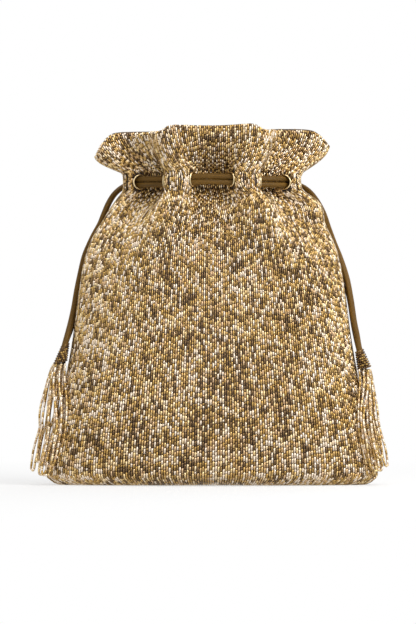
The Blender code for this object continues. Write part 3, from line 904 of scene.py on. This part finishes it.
class POTLI_OT_beads(bpy.types.Operator):
    """Threads the columns of tube beads over both panels"""

    bl_idname = "potli.beads"
    bl_label = "Beading"

    def execute(self, context):
        settings = context.scene.potli_beads
        finish = bead_finish("beaded_cloth", True)
        for side, first in (("front", -math.pi), ("back", 0.0)):
            beads = thread_beads(first, settings)
            beads[:, MIDDLE] -= beads[:, WAY_OUT] * settings.thickness / 2
            beads[:, WIDE] *= BEAD_SHARE
            band = 1 + np.digitize(beads[:, 2], BEAD_TOPS)
            for number in range(1, len(BEAD_TOPS) + 2):
                name = f"{side}_beads_{number}"
                mesh = thread(
                    name, beads[band == number], finish, settings.thickness, 6, settings.seed + number)
                add_piece(name, mesh, finish, [])
        return {"FINISHED"}


def eyelet_mesh(name, segments=40):
    """A rolled brass ring for each eyelet, with its barrel through the cloth and a ring at the back."""
    bore = EYELET_BORE / 2
    flange = EYELET_FLANGE / 2
    front = EYELET_SEAT + EYELET_SHEET
    back = -CLOTH - EYELET_SEAT - EYELET_SHEET
    barrel = bore + BARREL_WALL
    edge = flange - FLANGE_EDGE
    inside_face = -CLOTH - EYELET_SEAT

    def rolled(height, side):
        """Half a turn of the flange's rolled face, to the front or to the back of the cloth."""
        turns = [math.pi * k / 8 for k in range(9)]
        return [((bore + flange) / 2 - side * (flange - bore) / 2 * math.cos(turn),
                 height - side * ROLL_SINK + side * ROLL_RISE * math.sin(turn)) for turn in turns]

    profile = [*rolled(front, 1), (edge, EYELET_SEAT), (barrel, EYELET_SEAT), (barrel, inside_face),
               (edge, inside_face), *rolled(back, -1)]
    count = len(profile)
    points = []
    faces = []
    for k in range(segments):
        turn = 2 * math.pi * k / segments
        points += [(r * math.cos(turn), r * math.sin(turn), h) for r, h in profile]
        for m in range(count):
            n = (m + 1) % count
            following = (k + 1) % segments * count
            faces.append((k * count + m, following + m, following + n, k * count + n))
    ring = facing_out(mesh_of("eyelet_ring", points, faces))
    bm = bmesh.new()
    for place in EYELETS:
        copy = ring.copy()
        copy.transform(place)
        bm.from_mesh(copy)
        bpy.data.meshes.remove(copy)
    mesh = bpy.data.meshes.new(name)
    bm.to_mesh(mesh)
    bm.free()
    return mesh


class POTLI_OT_eyelets(bpy.types.Operator):
    """Sets the twelve brass eyelets"""

    bl_idname = "potli.eyelets"
    bl_label = "Eyelets"

    def execute(self, context):
        add_piece("eyelet_rings", eyelet_mesh("eyelet_rings"), brass_finish(),
                  [f"eyelet_{k:02d}" for k in range(1, len(EYELETS) + 1)], 45)
        return {"FINISHED"}


def even_points(route, spacing):
    """Points this far apart on the smooth curve through the route's own points."""
    route = np.asarray(route, float)
    fine = np.stack([
        smooth_curve(route[:, k], np.linspace(0, len(route) - 1, 24 * (len(route) - 1) + 1))
        for k in range(3)], 1)
    lengths = lengths_along(fine)
    count = max(round(lengths[-1] / spacing), 2)
    return read_path(fine, lengths, np.linspace(0, lengths[-1], count + 1))


def frames_along(points):
    """Two directions across the path at each point, which don't twist."""
    ahead = unit(np.gradient(points, axis=0))
    across = np.cross(ahead[0], (0.3, 1.0, 0.1))
    first = []
    for direction in ahead:
        across = across - direction * across.dot(direction)
        across = across / np.linalg.norm(across)
        first.append(across)
    first = np.array(first)
    return first, np.cross(ahead, first)


def tube_mesh(name, points, radii, sides):
    """A tube along the points, its ends closed, with its length and turn kept for the satin."""
    first, second = frames_along(points)
    turns = np.linspace(0, 2 * math.pi, sides, endpoint=False)
    ring = (first[:, None] * np.cos(turns)[None, :, None] + second[:, None] * np.sin(turns)[None, :, None])
    verts = points[:, None] + ring * radii[..., None]
    rows = len(points)
    faces = [tuple(range(sides))[::-1], tuple(range((rows - 1) * sides, rows * sides))]
    for row in range(rows - 1):
        for k in range(sides):
            n = (k + 1) % sides
            a = row * sides
            faces.append((a + k, a + n, a + sides + n, a + sides + k))
    mesh = facing_out(mesh_of(name, verts, faces))
    stored = mesh.attributes.new("along", "FLOAT_VECTOR", "POINT")
    values = np.zeros((rows, sides, 3), np.float32)
    values[..., 0] = lengths_along(points)[:, None]
    values[..., 1] = np.cos(turns)
    values[..., 2] = np.sin(turns)
    stored.data.foreach_set("vector", values.ravel())
    return mesh


def wrap_places(route, side):
    """The top and the foot of a tassel's wrap."""
    ends = (np.array(route[0]) + np.array(route[-1])) * MM / 2
    top = ends - np.array((0, 0, WRAP_SEAT))
    foot = top + np.array((side * WRAP_SPREAD, -WRAP_LEAN, -WRAP_HEIGHT))
    return top, foot


def cord_points(route, side):
    """The cord's whole way: both ends run on down inside the wrap."""
    top, foot = wrap_places(route, side)
    centre = foot + (top - foot) * CORD_END
    inner = [centre + np.array((0, across, 0)) for across in (CORD_APART, -CORD_APART)]
    way = [inner[0], *(np.array(point) * MM for point in route), inner[1]]
    return even_points(way, CORD_STEP)


class POTLI_OT_drawcords(bpy.types.Operator):
    """Laces both satin drawcords through the eyelets"""

    bl_idname = "potli.drawcords"
    bl_label = "Drawcords"

    def execute(self, context):
        settings = context.scene.potli_cords
        finish = cord_finish()
        for name, route, side in SIDES:
            points = cord_points(route, side)
            turns = np.linspace(0, 2 * math.pi, CORD_SIDES, endpoint=False)
            lengths = lengths_along(points)
            free = np.clip((CORD_TAPER_TOP - points[:, 2]) / CORD_TAPER, 0, 1)
            wide = settings.neck_diameter + (settings.diameter - settings.neck_diameter) * free
            crease = 1
            for depth, folds, twist in CORD_CREASES:
                crease = crease + depth * np.cos(folds * turns[None] + twist * lengths[:, None])
            mesh = tube_mesh(f"{name}_cord", points, wide[:, None] / 2 * crease, CORD_SIDES)
            piece = add_piece(f"{name}_cord", mesh, finish, [f"{name}_drawcord"], 60)
        return {"FINISHED"}


def level_at(height):
    """The level of the body's cloth at these heights, above the rounding of the base."""
    levels = np.linspace(3.0, 6.0, 400)
    return np.interp(height, loft(0.0, levels)[:, 2], levels)


def strand_points(foot, side, place, layer, height):
    """Points of a strand: it hangs from the wrap and drapes over the bag's flank."""
    place = np.broadcast_to(np.asarray(place, float), height.shape)

    def on_flank(z):
        angle = -FLANK_START - FLANK_STEP * place
        if side < 0:
            angle = -math.pi - angle
        level = level_at(np.maximum(z, BASE_ROUND))
        apart = LEFT_LAYER if side < 0 else RIGHT_LAYER
        point = cloth(angle, level) + cloth_facing(angle, level) * (
            STRAND_DIAMETER / 2 + FLANK_GAP + apart * layer)
        point[..., 2] = z
        return point

    top_z = foot[2] - GAP
    apart = side * ((layer - 1) * STRAND_SPREAD + (STRAND_MIDDLE - place) * STRAND_FAN)
    start = np.stack([
        foot[0] + apart,
        foot[1] + (STRAND_MIDDLE - place) * STRAND_PITCH, np.full(height.shape, top_z)], -1)
    fall = np.clip((top_z - height) / STRAND_SETTLE, 0, 1)
    freed = 1 - fall * fall * (3 - 2 * fall)
    hung = on_flank(height) + (start - on_flank(np.full(height.shape, top_z))) * freed[..., None]
    sway = fall * STRAND_SWAY
    flare = (LEFT_FLARE if side < 0 else RIGHT_FLARE) * layer * np.sqrt(fall * (1 - fall))
    opened = STRAND_LOOP * (1 - 2 * (place % 2)) * fall
    phase = SWAY_BY_PLACE * place + SWAY_BY_LAYER * layer
    hung[..., 0] += side * (flare + opened + sway * (1 + np.sin(height / SWAY_ACROSS + phase)) / 2)
    hung[..., 1] -= sway * (1 + np.cos(height / SWAY_DEEP + phase)) / 2
    return hung


def strand_path(foot, side, pair, layer):
    """One loop of a tassel: down one leg, round the turn and up the other."""
    bottom = STRAND_BOTTOM + STRAND_STEP * ((2 * pair + 3 * layer + (side > 0)) % 5)
    first = 2 * pair
    top = foot[2] - GAP
    down = np.linspace(top, bottom + STRAND_TURN, 24)
    swing = np.linspace(0, math.pi, 9)[1:-1]
    places = np.concatenate([
        np.full(len(down), first), first + (1 - np.cos(swing)) / 2, np.full(len(down), first + 1)])
    heights = np.concatenate([down, bottom + STRAND_TURN * (1 - np.sin(swing)), down[::-1]])
    return strand_points(foot, side, places, layer, heights)


def beads_along(points, lengths, gap, width, chance):
    """Beads of these lengths, threaded one after another along a path."""
    along = lengths_along(points)
    picked = chance.choice(lengths, 400)
    ends = np.cumsum(picked + gap)
    kept = ends < along[-1] + gap
    starts = (ends - picked)[kept] - gap / 2
    ends = ends[kept] - gap / 2
    low = read_path(points, along, starts)
    high = read_path(points, along, ends)
    up = unit(high - low)
    out = unit(np.cross(up, (0.2, 0.9, 0.1)))
    return np.concatenate([
        (low + high) / 2, up, out, np.linalg.norm(high - low, axis=1)[:, None],
        np.full((len(low), 1), width)], 1)


def wrap_beads_of(top, foot):
    """Small round beads in slanting rows round the wrap."""
    beads = []
    for row in range(WRAP_ROWS):
        share = (row + 0.5) / WRAP_ROWS
        half_x = (WRAP_TOP + (WRAP_BOTTOM - WRAP_TOP) * share) / 2 - WRAP_BEAD_INSET
        half_y = (WRAP_TOP_DEPTH + (WRAP_BOTTOM_DEPTH - WRAP_TOP_DEPTH) * share) / 2 - WRAP_BEAD_INSET
        middle = foot + (top - foot) * (1 - share)
        around = 2 * math.pi * math.sqrt((half_x ** 2 + half_y ** 2) / 2)
        count = round(around / WRAP_PITCH)
        for k in range(count):
            turn = 2 * math.pi * (k + 0.5 * (row % 2)) / count
            slant = WRAP_SLANT * math.cos(turn)
            out = np.array((math.cos(turn) / half_x, math.sin(turn) / half_y, 0.0))
            out /= np.linalg.norm(out)
            along = np.array((-out[1], out[0], 0.0))
            point = middle + np.array((half_x * math.cos(turn), half_y * math.sin(turn), slant))
            beads.append(np.concatenate([point, along, out, (WRAP_BEAD, WRAP_BEAD_WIDTH)]))
    return np.array(beads)


class POTLI_OT_tassels(bpy.types.Operator):
    """Makes both tassels: the beaded wrap and nine loops of threaded beads"""

    bl_idname = "potli.tassels"
    bl_label = "Tassels"

    def execute(self, context):
        strand_finish = bead_finish("strand_beads", False)
        wrap_finish = Finish("wrap_beads", metallic=0.8)
        tone = wrap_finish.attribute("bead_tone")
        # A few wrap beads at random take gold at the top of the ramp: partly a bead tone and partly painted
        # glints on the dark bronze wrap.
        gold = shade(colours().gold, 0.8)
        wrap_finish.put("Base Color", wrap_finish.ramp(
            tone, (0.0, WRAP_SHADE), (0.6, WRAP_BROWN), (0.95, gold)))
        wrap_finish.put("Roughness", 0.2 + 0.2 * tone)
        core_radii = np.array([
            [(width + depth) / 4 - WRAP_BEAD_THICKNESS]
            for width, depth in ((WRAP_TOP, WRAP_TOP_DEPTH), (WRAP_BOTTOM, WRAP_BOTTOM_DEPTH))])
        for name, route, side in SIDES:
            top, foot = wrap_places(route, side)
            mesh = thread(
                f"{name}_wrap", wrap_beads_of(top, foot), wrap_finish.material, WRAP_BEAD_THICKNESS, 8, 11)
            core = tube_mesh("core", np.stack([top, foot]), core_radii, 24)
            core.materials.append(wrap_finish.material)
            bm = bmesh.new()
            bm.from_mesh(mesh)
            bm.from_mesh(core)
            bm.to_mesh(mesh)
            bm.free()
            add_piece(f"{name}_wrap", mesh, wrap_finish.material,
                      [f"{name}_tassel_wrap"])
            number = 0
            for layer in range(STRAND_LAYERS):
                for pair in range(STRAND_PAIRS):
                    number += 1
                    chance = np.random.default_rng(100 * (side + 2) + number)
                    path = strand_path(foot, side, pair, layer)
                    beads = beads_along(path, STRAND_BEADS, STRAND_GAP, STRAND_BEAD, chance)
                    piece_name = f"{name}_bead_strand_{number}"
                    mesh = thread(piece_name, beads, strand_finish, STRAND_BEAD, 6, number)
                    add_piece(piece_name, mesh, strand_finish,
                              [f"{name}_strand_{number}"])
        return {"FINISHED"}


def shown_to_the_eye(tree):
    """A factor that is 1 where the background is looked at, straight or in a reflection."""
    path = tree.node("ShaderNodeLightPath", output=None)
    kinds = [Wire(tree, path.outputs[f"Is {kind} Ray"]) for kind in ("Camera", "Glossy", "Transmission")]
    seen = kinds[0].maths("MAXIMUM", kinds[0], kinds[1])
    return seen.maths("MAXIMUM", seen, kinds[2])


class POTLI_OT_stage(bpy.types.Operator):
    """Sets the floor, the soft lights and the camera"""

    bl_idname = "potli.stage"
    bl_label = "Stage"

    def execute(self, context):
        scene = context.scene
        scene.view_settings.view_transform = "Standard"
        world = bpy.data.worlds.new("studio")
        scene.world = world
        world.use_nodes = True
        tree = Tree(world.node_tree)
        world.node_tree.nodes.clear()
        seen = shown_to_the_eye(tree)
        light = tree.node("ShaderNodeBackground", {}, {"Color": (1, 1, 1, 1), "Strength": STUDIO_LIGHT})
        white = tree.node("ShaderNodeBackground", {}, {"Color": (1, 1, 1, 1), "Strength": 1.0})
        mixed = tree.node("ShaderNodeMixShader", {}, {0: seen, 1: light, 2: white})
        tree.node("ShaderNodeOutputWorld", {}, {"Surface": mixed}, None)

        floor_mesh = bpy.data.meshes.new("floor")
        bm = bmesh.new()
        bmesh.ops.create_circle(bm, cap_ends=True, segments=96, radius=FLOOR_RADIUS)
        bm.to_mesh(floor_mesh)
        bm.free()
        floor = in_scene("floor", floor_mesh)
        finish = Finish("floor_paper", roughness=0.9, base_color=(FLOOR_GREY,) * 3)
        seen = shown_to_the_eye(finish)
        spot = finish.node("ShaderNodeTexCoord", output="Object")
        away = finish.node("ShaderNodeVectorMath", {"operation": "LENGTH"}, {0: spot}, "Value")
        fade = ((away - SHADOW_START) / SHADOW_FADE).clamped() * SHADOW_SHARE + (1 - SHADOW_SHARE)
        glow = finish.node("ShaderNodeEmission", {}, {"Color": (1, 1, 1, 1), "Strength": 1.0})
        shown = finish.node("ShaderNodeMixShader", {}, {
            0: seen * fade, 1: Wire(finish, finish.shader.outputs["BSDF"]), 2: glow})
        finish.links.new(shown.socket, finish.nodes["Material Output"].inputs["Surface"])
        floor_mesh.materials.append(finish.material)

        for name, place, size, power in LAMPS:
            lamp = bpy.data.lights.new(name, "AREA")
            lamp.energy = power
            lamp.size = size
            holder = in_scene(name, lamp)
            holder.location = place
            way = Vector((0, 0, AIM_HEIGHT)) - Vector(place)
            holder.rotation_euler = way.to_track_quat("-Z", "Y").to_euler()

        camera_data = bpy.data.cameras.new("camera")
        camera_data.sensor_fit = "VERTICAL"
        camera_data.sensor_height = SENSOR
        camera_data.lens = SENSOR * (CAMERA_AWAY - FRONT_PLANE) / (PICTURE[1] * PIXEL)
        camera = in_scene("camera", camera_data)
        camera.location = (VIEW_MIDDLE[0], -CAMERA_AWAY, VIEW_MIDDLE[1])
        camera.rotation_euler = (math.pi / 2, 0, 0)
        scene.camera = camera
        return {"FINISHED"}


class POTLI_PT_panel(bpy.types.Panel):
    """Lists the sizes, the colours and the steps in the sidebar"""

    bl_label = "Potli bag"
    bl_idname = "POTLI_PT_panel"
    bl_space_type = "VIEW_3D"
    bl_region_type = "UI"
    bl_category = "Potli bag"

    def draw(self, context):
        layout = self.layout
        for group in (context.scene.potli_beads, context.scene.potli_cords, context.scene.potli_colours):
            box = layout.box()
            for key in group.__annotations__:
                box.prop(group, key)
        for operator in OPERATORS:
            layout.operator(operator.bl_idname)


GROUPS = (
    ("potli_beads", PotliBeadSettings), ("potli_cords", PotliCordSettings),
    ("potli_colours", PotliColourSettings))
OPERATORS = (
    POTLI_OT_stage, POTLI_OT_cloth, POTLI_OT_beads, POTLI_OT_eyelets, POTLI_OT_tassels,
    POTLI_OT_drawcords)


def register():
    for name, group in GROUPS:
        bpy.utils.register_class(group)
        setattr(bpy.types.Scene, name, PointerProperty(type=group))
    for kind in (*OPERATORS, POTLI_PT_panel):
        bpy.utils.register_class(kind)


def unregister():
    for kind in (POTLI_PT_panel, *reversed(OPERATORS)):
        bpy.utils.unregister_class(kind)
    for name, group in reversed(GROUPS):
        delattr(bpy.types.Scene, name)
        bpy.utils.unregister_class(group)


def main():
    register()
    bpy.ops.potli.stage()
    bpy.ops.potli.cloth()
    bpy.ops.potli.beads()
    bpy.ops.potli.eyelets()
    bpy.ops.potli.tassels()
    bpy.ops.potli.drawcords()


if __name__ == "__main__":
    main()
